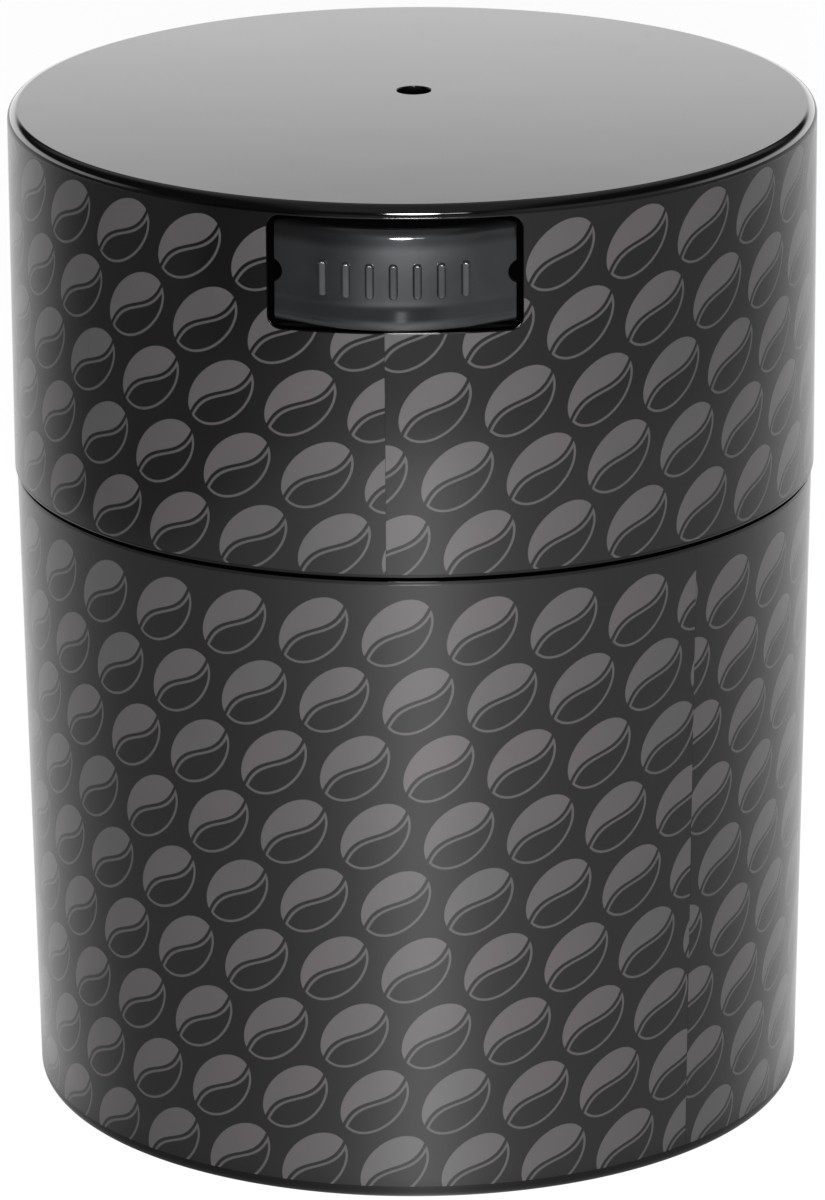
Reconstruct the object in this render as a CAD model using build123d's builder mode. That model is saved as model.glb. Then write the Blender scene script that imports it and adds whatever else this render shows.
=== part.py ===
from build123d import *
from math import cos, pi, radians, sin, sqrt, tan
import os

os.makedirs("parts", exist_ok=True)

# A round, free-standing coffee canister, in millimetres.
# It stands on Z = 0, its axis is Z, and the push button in its cap faces -Y.
total_height = 152.7
cap_radius = 60.3
rim_height = 97.4
neck_drop = 24.1
overrun = 5.0

# Cap shell
cap_wall = 1.8
cap_top_wall = 1.8
cap_edge_radius = 1.5
cap_inside_radius = 0.8
rim_round = 0.3
vent_radius = 2.6
valve_set_back = 6.3

# Cup: a tapered tub with a shoulder under the cap's rim and a neck inside the cap
shoulder_step = 0.35
rim_gap = 0.6
cup_draft = 1.02
bore_draft = 0.7
foot_round = 2.6
cup_floor = 3.0
floor_round = 4.0
neck_play = 0.4
neck_wall = 2.0
neck_chamfer = 0.4
groove_radius = 47.0
groove_width = 3.0
groove_depth = 0.6

# Printed films round the cup and the cap, each with one butt seam
film_thickness = 0.15
film_seam_gap = 0.12
film_bond = 0.1
film_foot = 3.2
film_edge_margin = 0.5
film_top_margin = 0.2
film_window_margin = 0.5
cup_seam_angle = -44.2
cap_seam_angle = -91.4

# Window in the cap, and the push button that moves in it
window_width = 36.4
window_height = 16.7
window_drop = 2.0
window_round = 1.8
button_gap = 1.0
button_proud = 2.7
button_bow = 7.1
button_wall = 2.0
button_top_round = 1.2
button_foot_round = 1.6
button_travel = 2.8
notch_radius = 1.8
notch_depth = 1.1
grip_count = 7
grip_pitch = 3.4
grip_width = 1.3
grip_length = 5.2
grip_height = 0.4

# The button's stop flange, and its tongue with two ramps that lift the valve
flange_overhang = 3.3
flange_foot = 1.1
flange_thickness = 1.6
stop_play = 0.2
tongue_width = 14.0
tongue_thickness = 2.0
tongue_lift_play = 0.4
fork_slot_width = 4.8
fork_tail = 6.5
slot_play = 1.3
ramp_half_length = 5.0
ramp_inset = 1.0
ramp_play = 0.1

# Inner lid: a disc that stands on the neck, with a plug skirt and a valve seat
disc_play = 0.3
disc_thickness = 2.0
bearing_height = 1.7
bearing_width = 0.9
bearing_inset = 0.2
plug_play = 0.6
plug_wall = 2.2
plug_depth = 10.7
plug_chamfer = 0.5
seat_bore = 2.6
seat_inner = 3.2
seat_outer = 4.4
seat_height = 0.8
rail_wall = 1.5
rail_shelf = 2.0
rail_play = 0.3
rail_height = 2.8
rail_length = 43.0
shelf_play = 0.2
post_thickness = 2.5
post_width = 9.0
post_head = 3.6

# Lip gasket in the plug's groove
gasket_height = 3.8
gasket_depth = 1.1
gasket_rise = 2.0
gasket_play = 0.05
gasket_back = 0.8
lip_play = 0.15
lip_lean = 0.7
lip_land = 0.35

# Cap ribs that hold the inner lid down, and beads that carry it when the lid is off
rib_count = 7
rib_depth = 4.6
rib_thickness = 1.8
rib_play = 0.2
rib_start = -45.0
rib_sector = 270.0
bead_height = 1.2
bead_reach = 0.9
bead_length = 9.0
bead_play = 0.1

# Valve
seal_radius = 5.5
seal_thickness = 1.5
plate_radius = 5.0
plate_thickness = 1.2
valve_travel = 1.4
shaft_radius = 1.9
shaft_head_room = 0.9
tail_radius = 1.5
tail_play = 0.05
tail_head_radius = 2.2
tail_head_height = 0.5
cam_half_length = 3.0
cam_half_width = 6.0
cam_least_thickness = 2.3
boss_inner = 3.8
boss_outer = 5.0
boss_height = 2.6
boss_slot = 1.6

# Springs, wound from round wire
button_wire = 0.7
button_coil_radius = 2.65
button_spring_length = 14.0
button_spring_turns = 6
spigot_radius = 1.9
spigot_length = 2.0
spring_boss_radius = 3.4
valve_wire = 0.6
valve_coil_radius = 3.0
valve_spring_turns = 3
spring_seat_play = 0.1

# Heights that follow from these sizes, from the floor up
shoulder_height = rim_height - rim_gap
neck_top = total_height - neck_drop
disc_bottom = neck_top + bearing_height
disc_top = disc_bottom + disc_thickness
seat_top = disc_top + seat_height
seal_top = seat_top + seal_thickness
plate_top = seal_top + plate_thickness
tongue_bottom = plate_top + valve_travel + tongue_lift_play
tongue_top = tongue_bottom + tongue_thickness
ceiling = total_height - cap_top_wall
window_top = total_height - window_drop
window_bottom = window_top - window_height
window_middle = window_top - window_height / 2
film_top = total_height - cap_edge_radius - film_top_margin

# Radii
cap_bore = cap_radius - cap_wall
film_inner = cap_radius - film_thickness
cap_bed = film_inner - film_bond
wall_middle = cap_radius - cap_wall / 2
shoulder_radius = cap_radius - shoulder_step
neck_radius = cap_bore - neck_play
neck_bore = neck_radius - neck_wall
disc_radius = cap_bore - disc_play


def cup_radius(height):
    return shoulder_radius - (shoulder_height - height) * tan(radians(cup_draft))


def bore_radius(height):
    return neck_bore - (neck_top - height) * tan(radians(bore_draft))


plug_radius = bore_radius(neck_top - plug_depth) - plug_play
bed_depth = film_thickness + film_bond
film_shoulder = shoulder_height - film_edge_margin
film_rim = rim_height + film_edge_margin

# Plan of the button: its bowed face, the arc's centre, and where it stands in Y
button_width = window_width - 2 * button_gap
button_height = window_height - 2 * button_gap
button_bottom = window_bottom + button_gap
button_half = button_width / 2
face_radius = (button_half**2 + button_bow**2) / (2 * button_bow)
face_front = -cap_radius - button_proud
face_axis = face_front + face_radius
face_edge = face_front + button_bow
flange_half = button_half + flange_overhang
flange_front = stop_play - sqrt(cap_bore**2 - flange_half**2)
flange_back = flange_front + flange_thickness
spring_offset = button_half - button_wall - button_coil_radius
post_front = flange_back + button_spring_length
valve_axis = Axis((0, valve_set_back, 0), (0, 0, 1))
ramp_slope = valve_travel / button_travel
ramp_middle = tongue_top + ramp_slope * ramp_half_length
cam_top = ramp_middle + ramp_slope * cam_half_length + ramp_play + cam_least_thickness
cam_middle = ramp_middle + ramp_play
shaft_top = ceiling - valve_travel - shaft_head_room
slot_end = valve_set_back - button_travel - shaft_radius + fork_slot_width / 2 - slot_play

# The hollow behind the button's face, and what stands in it
hollow_half = button_half - button_wall
hollow_radius = face_radius - button_wall
hollow_edge = face_axis - sqrt(hollow_radius**2 - hollow_half**2)
boss_root = face_axis - sqrt((face_radius - button_wall / 2) ** 2 - spring_offset**2)
tongue_root = face_axis - sqrt((face_radius - button_wall / 4) ** 2 - (tongue_width / 2) ** 2)

# Inner lid, gasket and springs
bearing_inner = neck_bore + bearing_inset
rail_face = tongue_width / 2 + rail_play
rail_end = valve_set_back - ramp_half_length - button_travel
groove_middle = disc_bottom - plug_depth + gasket_rise + gasket_height / 2
gasket_foot = groove_middle - gasket_height / 2
gasket_head = groove_middle + gasket_height / 2
gasket_root = plug_radius - gasket_depth + gasket_play
gasket_face = gasket_root + gasket_back
lip_radius = bore_radius(gasket_foot) - lip_play
button_coil_start = flange_back + button_wire / 2 + spring_seat_play
button_coil_length = button_spring_length - button_wire - 2 * spring_seat_play
valve_coil_start = cam_top + valve_wire / 2 + spring_seat_play
valve_coil_length = ceiling - cam_top - valve_wire - 2 * spring_seat_play


def rail_align(side):
    return Align.MIN if side > 0 else Align.MAX


def least_gap(turns, coil_radius, wire, length):
    """Least clear distance between a coil and its own next turn."""
    per_turn = 48
    count = round(turns * per_turn)
    spots = []
    for step in range(count + 1):
        angle = 2 * pi * step / per_turn
        rise = length * step / count
        spots.append(Vector(coil_radius * cos(angle), coil_radius * sin(angle), rise))
    gaps = []
    for first in range(count + 1):
        for other in range(first + per_turn // 2, count + 1):
            gaps.append((spots[other] - spots[first]).length - wire)
    return min(gaps)


def coil_arcs(plane, turns, coil_radius, length):
    """Start, way and end of the tangent arcs of a coil that climbs along a plane's Z."""
    quarters = round(4 * turns)
    rise = length / quarters
    climb = 2 * length / (pi * quarters)
    arcs = []
    for quarter in range(quarters):
        ends = []
        for step in (quarter, quarter + 1):
            angle = pi * step / 2
            outward = plane.x_dir * cos(angle) + plane.y_dir * sin(angle)
            sideways = plane.y_dir * cos(angle) - plane.x_dir * sin(angle)
            spot = plane.origin + outward * coil_radius + plane.z_dir * (rise * step)
            way = sideways * coil_radius + plane.z_dir * climb
            ends.append((spot, way.normalized()))
        (start, start_way), (end, end_way) = ends
        chord = end - start
        across = chord.dot(start_way + end_way)
        spread = 2 * (1 - start_way.dot(end_way))
        reach = (sqrt(across**2 + spread * chord.dot(chord)) - across) / spread
        joint = (start + end + (start_way - end_way) * reach) / 2
        joint_way = (end - end_way * reach) - (start + start_way * reach)
        arcs.append((start, start_way, joint))
        arcs.append((joint, joint_way.normalized(), end))
    return arcs


# Cup
with BuildPart() as cup:
    with BuildSketch(Plane.XZ) as cup_section:
        with BuildLine():
            Polyline(
                (0, 0),
                (cup_radius(0), 0),
                (shoulder_radius, shoulder_height),
                (neck_radius, shoulder_height),
                (neck_radius, neck_top),
                (neck_bore, neck_top),
                (bore_radius(cup_floor), cup_floor),
                (0, cup_floor),
                close=True,
            )
        make_face()
        fillet(cup_section.vertices().group_by(Axis.Y)[0].sort_by(Axis.X)[-1], foot_round)
        fillet(cup_section.vertices().group_by(Axis.Y)[2].sort_by(Axis.X)[-1], floor_round)
        chamfer(cup_section.vertices().group_by(Axis.Y)[-1], neck_chamfer)
    revolve(axis=Axis.Z)
    with BuildSketch(Plane.XZ):
        with BuildLine():
            Polyline(
                (cup_radius(film_foot) - bed_depth, film_foot),
                (cup_radius(film_foot) + overrun, film_foot),
                (cup_radius(film_shoulder) + overrun, film_shoulder),
                (cup_radius(film_shoulder) - bed_depth, film_shoulder),
                close=True,
            )
        make_face()
    revolve(axis=Axis.Z, mode=Mode.SUBTRACT)
    with BuildSketch(Plane.XY):
        Circle(groove_radius + groove_width / 2)
        Circle(groove_radius - groove_width / 2, mode=Mode.SUBTRACT)
    extrude(amount=groove_depth, mode=Mode.SUBTRACT)

cup.part.label = "cup"
export_step(cup.part, "parts/cup.step")

# Printed film round the cup
with BuildPart() as body_wrap:
    with BuildSketch(Plane.XZ):
        with BuildLine():
            Polyline(
                (cup_radius(film_foot) - film_thickness, film_foot),
                (cup_radius(film_foot), film_foot),
                (cup_radius(film_shoulder), film_shoulder),
                (cup_radius(film_shoulder) - film_thickness, film_shoulder),
                close=True,
            )
        make_face()
    revolve(axis=Axis.Z)
    with BuildSketch(Plane.XY):
        with PolarLocations(shoulder_radius, 1, start_angle=cup_seam_angle):
            Rectangle(2 * overrun, film_seam_gap)
    extrude(amount=rim_height, mode=Mode.SUBTRACT)

body_wrap.part.label = "body_wrap"
export_step(body_wrap.part, "parts/body_wrap.step")

# Cap shell
with BuildPart() as cap_shell:
    with BuildSketch(Plane.XZ) as cap_section:
        with BuildLine():
            Polyline(
                (0, ceiling),
                (cap_bore, ceiling),
                (cap_bore, rim_height),
                (cap_radius, rim_height),
                (cap_radius, film_rim),
                (cap_bed, film_rim),
                (cap_bed, film_top),
                (cap_radius, film_top),
                (cap_radius, total_height),
                (0, total_height),
                close=True,
            )
        make_face()
        fillet(cap_section.vertices().group_by(Axis.Y)[-1].sort_by(Axis.X)[-1], cap_edge_radius)
        inside_corner = cap_section.vertices().filter_by_position(Axis.Y, ceiling, ceiling)
        fillet(inside_corner.sort_by(Axis.X)[-1], cap_inside_radius)
        fillet(cap_section.vertices().group_by(Axis.Y)[0], rim_round)
    revolve(axis=Axis.Z)
    with Locations((0, 0, disc_top + rib_play)):
        with PolarLocations(wall_middle, rib_count, rib_start, rib_sector):
            Box(
                rib_depth + cap_wall / 2,
                rib_thickness,
                ceiling - disc_top,
                align=(Align.MAX, Align.CENTER, Align.MIN),
            )
    with Locations((0, 0, disc_bottom - bead_play)):
        with PolarLocations(wall_middle, rib_count, rib_start, rib_sector):
            Box(
                bead_reach + cap_wall / 2,
                bead_length,
                bead_height,
                align=(Align.MAX, Align.CENTER, Align.MAX),
            )
    with BuildSketch(Plane.XY.offset(ceiling)):
        with Locations((0, valve_set_back)):
            Circle(boss_outer)
            Circle(boss_inner, mode=Mode.SUBTRACT)
            Rectangle(2 * boss_outer, boss_slot, mode=Mode.SUBTRACT)
    extrude(amount=-boss_height)
    with BuildSketch(Plane.XY.offset(ceiling)):
        with Locations((0, valve_set_back)):
            Circle(vent_radius)
    extrude(amount=cap_top_wall, mode=Mode.SUBTRACT)
    with BuildSketch(Plane.XZ):
        with Locations((0, window_middle)):
            RectangleRounded(window_width, window_height, window_round)
    extrude(amount=cap_radius + overrun, mode=Mode.SUBTRACT)

cap_shell.part.label = "cap_shell"
export_step(cap_shell.part, "parts/cap_shell.step")

# Printed film round the cap, cut out round the window
with BuildPart() as cap_wrap:
    with BuildSketch(Plane.XY.offset(film_rim)):
        Circle(cap_radius)
        Circle(film_inner, mode=Mode.SUBTRACT)
        with PolarLocations(cap_radius, 1, start_angle=cap_seam_angle):
            Rectangle(2 * overrun, film_seam_gap, mode=Mode.SUBTRACT)
    extrude(amount=film_top - film_rim)
    with BuildSketch(Plane.XZ):
        with Locations((0, window_middle)):
            RectangleRounded(
                window_width + 2 * film_window_margin,
                window_height + 2 * film_window_margin,
                window_round + film_window_margin,
            )
    extrude(amount=cap_radius + overrun, mode=Mode.SUBTRACT)

cap_wrap.part.label = "cap_wrap"
export_step(cap_wrap.part, "parts/cap_wrap.step")

# Inner lid
with BuildPart() as inner_lid:
    with BuildSketch(Plane.XZ) as lid_section:
        with BuildLine():
            Polyline(
                (0, disc_bottom),
                (plug_radius - plug_wall, disc_bottom),
                (plug_radius - plug_wall, disc_bottom - plug_depth),
                (plug_radius, disc_bottom - plug_depth),
                (plug_radius, disc_bottom),
                (bearing_inner, disc_bottom),
                (bearing_inner, neck_top),
                (bearing_inner + bearing_width, neck_top),
                (bearing_inner + bearing_width, disc_bottom),
                (disc_radius, disc_bottom),
                (disc_radius, disc_top),
                (0, disc_top),
                close=True,
            )
        make_face()
        chamfer(lid_section.vertices().group_by(Axis.Y)[0], plug_chamfer)
        with Locations((plug_radius, groove_middle)):
            Rectangle(2 * gasket_depth, gasket_height + 2 * gasket_play, mode=Mode.SUBTRACT)
    revolve(axis=Axis.Z)
    with BuildSketch(Plane.XY.offset(disc_top)):
        with Locations((0, valve_set_back)):
            Circle(seat_outer)
            Circle(seat_inner, mode=Mode.SUBTRACT)
    extrude(amount=seat_height)
    with BuildSketch(Plane.XY.offset(disc_top)):
        with Locations((0, valve_set_back)):
            Circle(seat_bore)
    extrude(amount=-disc_thickness, mode=Mode.SUBTRACT)
    with BuildSketch(Plane.XY.offset(disc_top)):
        for side in (-1, 1):
            with Locations((side * rail_face, rail_end)):
                Rectangle(rail_wall, rail_length, align=(rail_align(side), Align.MAX))
    extrude(amount=tongue_bottom + rail_height - disc_top)
    with BuildSketch(Plane.XY.offset(disc_top)):
        for side in (-1, 1):
            with Locations((side * rail_face, rail_end)):
                Rectangle(rail_shelf, rail_length, align=(rail_align(-side), Align.MAX))
    extrude(amount=tongue_bottom - shelf_play - disc_top)
    with BuildSketch(Plane.XY.offset(disc_top)):
        with Locations((-spring_offset, post_front), (spring_offset, post_front)):
            Rectangle(post_width, post_thickness, align=(Align.CENTER, Align.MIN))
    extrude(amount=window_middle + post_head - disc_top)
    with BuildSketch(Plane.XZ.offset(-post_front)):
        with Locations((-spring_offset, window_middle), (spring_offset, window_middle)):
            Circle(spigot_radius)
    extrude(amount=spigot_length)

inner_lid.part.label = "inner_lid"
export_step(inner_lid.part, "parts/inner_lid.step")

# Lip gasket
with BuildPart() as lid_gasket:
    with BuildSketch(Plane.XZ):
        with BuildLine():
            Polyline(
                (gasket_root, gasket_foot),
                (gasket_face, gasket_foot),
                (lip_radius, gasket_foot + lip_lean),
                (lip_radius, gasket_foot + lip_lean + lip_land),
                (gasket_face, groove_middle),
                (lip_radius, gasket_head - lip_lean - lip_land),
                (lip_radius, gasket_head - lip_lean),
                (gasket_face, gasket_head),
                (gasket_root, gasket_head),
                close=True,
            )
        make_face()
    revolve(axis=Axis.Z)

lid_gasket.part.label = "lid_gasket"
export_step(lid_gasket.part, "parts/lid_gasket.step")

# Push button: the bowed front with its grip ribs, then what stands behind it
with BuildPart() as grip_ribs:
    with BuildSketch(Plane.XZ.offset(grip_height - face_front)):
        with Locations((0, window_middle)):
            with GridLocations(grip_pitch, 0, grip_count, 1):
                SlotOverall(grip_length, grip_width, rotation=90)
    extrude(amount=-grip_height - button_bow / 2)
    with Locations((0, face_axis, window_middle)):
        Cylinder(face_radius + grip_height, button_height, mode=Mode.INTERSECT)

with BuildPart() as push_button:
    with BuildSketch(Plane.XY.offset(button_bottom)):
        with BuildLine():
            ThreePointArc((-button_half, face_edge), (0, face_front), (button_half, face_edge))
            Polyline(
                (button_half, face_edge),
                (button_half, flange_front),
                (-button_half, flange_front),
                (-button_half, face_edge),
            )
        make_face()
    extrude(amount=button_height)
    face_edges = push_button.edges().filter_by(GeomType.CIRCLE)
    fillet(face_edges.sort_by(Axis.Z)[-1], button_top_round)
    fillet(push_button.edges().filter_by(GeomType.CIRCLE).sort_by(Axis.Z)[0], button_foot_round)
    add(grip_ribs.part)
    with BuildSketch(Plane.XZ.offset(-flange_back)):
        with Locations((0, button_bottom - flange_foot)):
            Rectangle(
                2 * flange_half,
                button_height + flange_foot,
                align=(Align.CENTER, Align.MIN),
            )
    extrude(amount=flange_thickness)
    with BuildSketch(Plane.XY.offset(button_bottom + button_wall)):
        with BuildLine():
            ThreePointArc(
                (-hollow_half, hollow_edge),
                (0, face_front + button_wall),
                (hollow_half, hollow_edge),
            )
            Polyline(
                (hollow_half, hollow_edge),
                (hollow_half, flange_back),
                (-hollow_half, flange_back),
                (-hollow_half, hollow_edge),
            )
        make_face()
    extrude(amount=button_height - 2 * button_wall, mode=Mode.SUBTRACT)
    with BuildSketch(Plane.XZ.offset(-flange_back)):
        with Locations((-spring_offset, window_middle), (spring_offset, window_middle)):
            Circle(spring_boss_radius)
    extrude(amount=flange_back - boss_root)
    with BuildSketch(Plane.XZ.offset(-flange_back)):
        with Locations((-spring_offset, window_middle), (spring_offset, window_middle)):
            Circle(spigot_radius)
    extrude(amount=-spigot_length)
    with BuildSketch(Plane.XY.offset(button_bottom + button_wall / 2)):
        with Locations((0, tongue_root)):
            Rectangle(tongue_width, flange_back - tongue_root, align=(Align.CENTER, Align.MIN))
    extrude(amount=tongue_top - button_bottom - button_wall / 2)
    with BuildSketch(Plane.XY.offset(tongue_bottom)):
        with Locations((0, tongue_root)):
            Rectangle(
                tongue_width,
                valve_set_back + fork_tail - tongue_root,
                align=(Align.CENTER, Align.MIN),
            )
    extrude(amount=tongue_thickness)
    with BuildSketch(Plane.YZ):
        with BuildLine():
            Polyline(
                (valve_set_back - ramp_half_length, tongue_top),
                (valve_set_back + ramp_half_length, tongue_top),
                (
                    valve_set_back - ramp_half_length,
                    tongue_top + 2 * ramp_half_length * ramp_slope,
                ),
                close=True,
            )
        make_face()
    extrude(amount=tongue_width / 2 - ramp_inset, both=True)
    with BuildSketch(Plane.XY.offset(tongue_bottom)):
        with Locations((0, slot_end)):
            Circle(fork_slot_width / 2)
            Rectangle(
                fork_slot_width,
                valve_set_back + fork_tail - slot_end,
                align=(Align.CENTER, Align.MIN),
            )
    extrude(amount=cam_top - tongue_bottom, mode=Mode.SUBTRACT)
    with BuildSketch(Plane.XZ.offset(-flange_front)):
        for side in (-1, 1):
            with Locations((side * (button_half + notch_radius - notch_depth), window_middle)):
                Circle(notch_radius)
    extrude(amount=flange_front - face_front, mode=Mode.SUBTRACT)

push_button.part.label = "push_button"
export_step(push_button.part, "parts/push_button.step")

# The two springs that push the button out
print(
    "button spring, least gap to itself:",
    round(
        least_gap(button_spring_turns, button_coil_radius, button_wire, button_coil_length),
        2,
    ),
)
with BuildPart() as button_springs:
    for side in (-1, 1):
        seat = Plane(
            origin=(side * spring_offset, button_coil_start, window_middle),
            x_dir=(1, 0, 0),
            z_dir=(0, 1, 0),
        )
        coil = coil_arcs(seat, button_spring_turns, button_coil_radius, button_coil_length)
        with BuildLine() as coil_path:
            for arc_start, arc_way, arc_end in coil:
                TangentArc(arc_start, arc_end, tangent=arc_way)
        with BuildSketch(coil_path.line ^ 0):
            Circle(button_wire / 2)
        sweep(path=coil_path.line)

button_springs.part.label = "button_springs"
export_step(button_springs.part, "parts/button_springs.step")

# Valve stem: plate, shaft, cam block and the tail that carries the seal
with BuildPart() as valve_stem:
    with BuildSketch(Plane.XZ.offset(-valve_set_back)):
        with BuildLine():
            Polyline(
                (0, seat_top - tail_play - tail_head_height),
                (tail_head_radius, seat_top - tail_play - tail_head_height),
                (tail_head_radius, seat_top - tail_play),
                (tail_radius, seat_top - tail_play),
                (tail_radius, seal_top),
                (plate_radius, seal_top),
                (plate_radius, plate_top),
                (shaft_radius, plate_top),
                (shaft_radius, shaft_top),
                (0, shaft_top),
                close=True,
            )
        make_face()
    revolve(axis=valve_axis)
    with BuildSketch(Plane.YZ):
        with BuildLine():
            Polyline(
                (valve_set_back - cam_half_length, cam_middle + ramp_slope * cam_half_length),
                (valve_set_back + cam_half_length, cam_middle - ramp_slope * cam_half_length),
                (valve_set_back + cam_half_length, cam_top),
                (valve_set_back - cam_half_length, cam_top),
                close=True,
            )
        make_face()
    extrude(amount=cam_half_width, both=True)

valve_stem.part.label = "valve_stem"
export_step(valve_stem.part, "parts/valve_stem.step")

# Rubber seal of the valve
with BuildPart() as valve_seal:
    with BuildSketch(Plane.XY.offset(seat_top)):
        with Locations((0, valve_set_back)):
            Circle(seal_radius)
            Circle(tail_radius + tail_play, mode=Mode.SUBTRACT)
    extrude(amount=seal_thickness)

valve_seal.part.label = "valve_seal"
export_step(valve_seal.part, "parts/valve_seal.step")

# Spring that closes the valve
print(
    "valve spring, least gap to itself:",
    round(least_gap(valve_spring_turns, valve_coil_radius, valve_wire, valve_coil_length), 2),
)
with BuildPart() as valve_spring:
    seat = Plane((0, valve_set_back, valve_coil_start))
    coil = coil_arcs(seat, valve_spring_turns, valve_coil_radius, valve_coil_length)
    with BuildLine() as valve_path:
        for arc_start, arc_way, arc_end in coil:
            TangentArc(arc_start, arc_end, tangent=arc_way)
    with BuildSketch(valve_path.line ^ 0):
        Circle(valve_wire / 2)
    sweep(path=valve_path.line)

valve_spring.part.label = "valve_spring"
export_step(valve_spring.part, "parts/valve_spring.step")
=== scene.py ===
# %% [markdown]
# A coffee canister with a push button valve, in Blender.
#
# A tapered tub holds the coffee, a tall cap goes over its neck, and a button in the cap's
# front opens a small valve, so that air can get out while the lid goes on. Tub and cap are
# each wrapped in a printed film with rows of coffee beans.
#
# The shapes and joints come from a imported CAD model, the frame. Nothing in it is moved, and
# each piece that we model takes its place and size from it.

from math import cos, pi, radians, sin, sqrt, tan

import bmesh
import bpy
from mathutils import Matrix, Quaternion, Vector


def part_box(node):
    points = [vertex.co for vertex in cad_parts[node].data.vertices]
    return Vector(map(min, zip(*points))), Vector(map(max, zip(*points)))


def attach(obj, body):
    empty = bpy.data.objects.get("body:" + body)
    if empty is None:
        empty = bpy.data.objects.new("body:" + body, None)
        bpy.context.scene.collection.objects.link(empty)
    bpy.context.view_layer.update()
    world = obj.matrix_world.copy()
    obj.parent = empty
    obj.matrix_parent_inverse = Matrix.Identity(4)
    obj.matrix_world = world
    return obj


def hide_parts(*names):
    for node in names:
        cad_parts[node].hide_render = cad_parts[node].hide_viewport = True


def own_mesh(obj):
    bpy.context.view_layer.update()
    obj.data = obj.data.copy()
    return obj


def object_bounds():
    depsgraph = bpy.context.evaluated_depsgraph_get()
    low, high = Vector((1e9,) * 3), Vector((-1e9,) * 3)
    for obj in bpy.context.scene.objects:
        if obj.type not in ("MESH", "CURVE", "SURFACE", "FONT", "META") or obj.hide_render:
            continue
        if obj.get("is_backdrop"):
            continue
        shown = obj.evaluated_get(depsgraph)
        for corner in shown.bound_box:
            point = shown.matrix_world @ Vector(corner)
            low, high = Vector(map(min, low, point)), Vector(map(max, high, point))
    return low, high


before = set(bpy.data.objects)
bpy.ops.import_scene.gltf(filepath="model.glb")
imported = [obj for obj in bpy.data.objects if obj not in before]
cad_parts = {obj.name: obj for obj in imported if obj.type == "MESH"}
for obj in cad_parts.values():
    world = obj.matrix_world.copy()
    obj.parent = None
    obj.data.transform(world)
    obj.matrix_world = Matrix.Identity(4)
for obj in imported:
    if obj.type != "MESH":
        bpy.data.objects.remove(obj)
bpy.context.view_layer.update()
scene = bpy.context.scene

# %% [markdown]
# Blender works in metres here, so small sizes are written in millimetres, as a number times
# MM. Large sizes are read from the frame.

# %% Sizes that the frame gives
MM = 0.001
TINY = 0.002 * MM

cap_low, cap_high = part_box("cap_shell")
_, cup_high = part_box("cup")
cap_film_low, cap_film_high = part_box("cap_wrap")
cup_film_low, cup_film_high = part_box("body_wrap")

cap_radius = cap_high.x
cap_top = cap_high.z
cap_rim = cap_low.z
neck_top = cup_high.z
print("cap radius, rim and top in mm:", [round(v / MM, 2) for v in (cap_radius, cap_rim, cap_top)])

# %% [markdown]
# The camera is a long lens that looks down on the canister from a metre away, a little right
# of the button. These values were fitted to the rims, the top edge and the foot in the
# picture, which was taken by hand and has a small roll.

# %% Camera
camera_spot = Vector((0.04920, -1.09608, 0.43351))
camera_aim = Vector((-0.00042, 0.0, 0.07442))
camera_roll = radians(-0.375)

camera_data = bpy.data.cameras.new("camera")
camera_data.sensor_width = 36.0
camera_data.lens = 227.6
camera_data.clip_end = 50.0
camera = bpy.data.objects.new("camera", camera_data)
scene.collection.objects.link(camera)
look = (camera_aim - camera_spot).to_track_quat("-Z", "Y")
camera.rotation_mode = "QUATERNION"
camera.rotation_quaternion = look @ Quaternion((0, 0, 1), camera_roll)
camera.location = camera_spot
scene.camera = camera
print("camera distance in mm:", round(camera_spot.length / MM))

# %% [markdown]
# Node trees are built by code, so short helpers keep them readable. A `Term` is a node's
# output that can stand in a formula: each sign adds one Math node, and `calc` adds one by
# name. `feed` gives a socket either a number or a term.

# %% Helpers for node trees
def sign(operation, swapped=False):
    def method(self, other):
        return calc(operation, other, self) if swapped else calc(operation, self, other)
    return method


class Term:
    __add__ = sign("ADD")
    __sub__ = sign("SUBTRACT")
    __rsub__ = sign("SUBTRACT", swapped=True)
    __mul__ = sign("MULTIPLY")
    __truediv__ = sign("DIVIDE")
    __rtruediv__ = sign("DIVIDE", swapped=True)

    def __init__(self, socket):
        self.socket = socket
        self.tree = socket.id_data


def feed(socket, value):
    if isinstance(value, Term):
        value.tree.links.new(value.socket, socket)
    else:
        socket.default_value = value


def feed_named(node, **values):
    """Feeds inputs by their names. An underscore stands for a space."""
    for label, value in values.items():
        feed(node.inputs[label.replace("_", " ")], value)


def feed_in_order(node, *values):
    for socket, value in zip(node.inputs, values):
        feed(socket, value)
    return Term(node.outputs[0])


def add_node(tree, kind, **values):
    node = tree.nodes.new("ShaderNode" + kind)
    feed_named(node, **values)
    return node


def calc(operation, *values):
    tree = next(value.tree for value in values if isinstance(value, Term))
    node = add_node(tree, "Math")
    node.operation = operation
    return feed_in_order(node, *values)


def soft_step(value, start, end):
    """0 before start, 1 after end, and a smooth change between them."""
    node = add_node(value.tree, "MapRange", Value=value, From_Min=start, From_Max=end)
    node.interpolation_type = "SMOOTHSTEP"
    return Term(node.outputs["Result"])


def blend_value(share, first, second):
    node = add_node(share.tree, "Mix", Factor=share, A=first, B=second)
    return Term(node.outputs["Result"])


def blend_color(share, first, second):
    node = add_node(share.tree, "Mix", Factor=share)
    node.data_type = "RGBA"
    colors = [socket for socket in node.inputs if socket.type == "RGBA"]
    feed(colors[0], first)
    feed(colors[1], second)
    return Term([socket for socket in node.outputs if socket.type == "RGBA"][0])


def split_place(tree, output):
    """X, Y and Z of the Texture Coordinate node's output of that name."""
    place = Term(add_node(tree, "TexCoord").outputs[output])
    return [Term(part) for part in add_node(tree, "SeparateXYZ", Vector=place).outputs]

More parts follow.
